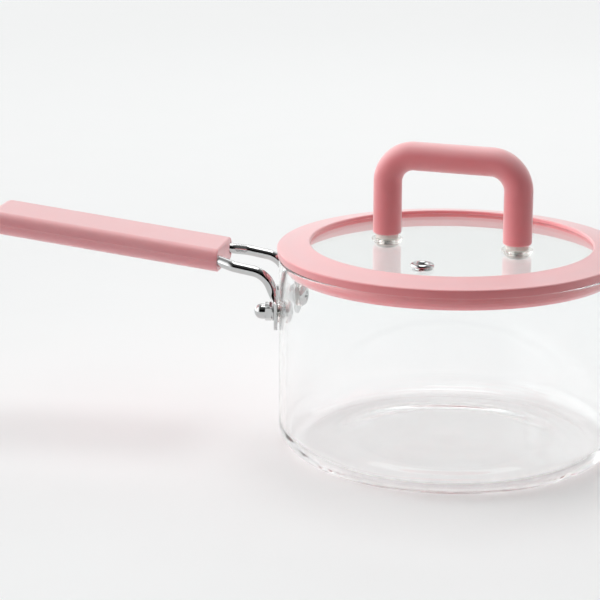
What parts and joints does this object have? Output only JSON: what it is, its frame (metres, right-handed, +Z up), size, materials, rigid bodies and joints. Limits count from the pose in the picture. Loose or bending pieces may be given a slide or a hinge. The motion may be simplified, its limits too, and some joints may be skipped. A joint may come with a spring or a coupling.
{
  "type": "glass saucepan",
  "caption": "Clear glass saucepan with a flat glass lid in a silicone rim, a silicone-sleeved bow on the lid and a silicone-gripped wire side handle bolted through the wall.",
  "frame": {"origin": "on the pot's axis, at the flat base that it stands on", "axes": "+Z up along the pot's axis, the side handle runs out along -X, the front of the pan faces -Y"},
  "size_m": [0.3023, 0.162, 0.1444],
  "materials": {
    "pot_glass": "clear, fire-polished",
    "lid_glass": "clear, tempered",
    "pink_silicone": "matt moulded silicone",
    "clear_silicone": "translucent moulded silicone",
    "polished_steel": "polished stainless steel"
  },
  "bodies": {
    "pot": {"glass_pot": "pot_glass", "handle_wire": "polished_steel", "handle_grip": "pink_silicone", "front_handle_screw": "polished_steel", "front_inner_gasket": "clear_silicone", "front_outer_gasket": "clear_silicone", "front_steel_washer": "polished_steel", "front_cap_nut": "polished_steel", "rear_handle_screw": "polished_steel", "rear_inner_gasket": "clear_silicone", "rear_outer_gasket": "clear_silicone", "rear_steel_washer": "polished_steel", "rear_cap_nut": "polished_steel"},
    "lid": {"lid_glass": "lid_glass", "lid_rim": "pink_silicone", "steam_vent": "polished_steel", "lid_handle_core": "polished_steel", "lid_handle_sleeve": "pink_silicone", "left_leg_collar": "clear_silicone", "left_leg_washer": "clear_silicone", "left_leg_gasket": "clear_silicone", "left_leg_screw": "polished_steel", "right_leg_collar": "clear_silicone", "right_leg_washer": "clear_silicone", "right_leg_gasket": "clear_silicone", "right_leg_screw": "polished_steel"}
  },
  "joints": [
    {"name": "lid_lift", "type": "slide", "parent": "pot", "child": "lid", "axis": [0, 0, 1], "range_m": [0, 0.12]}
  ]
}
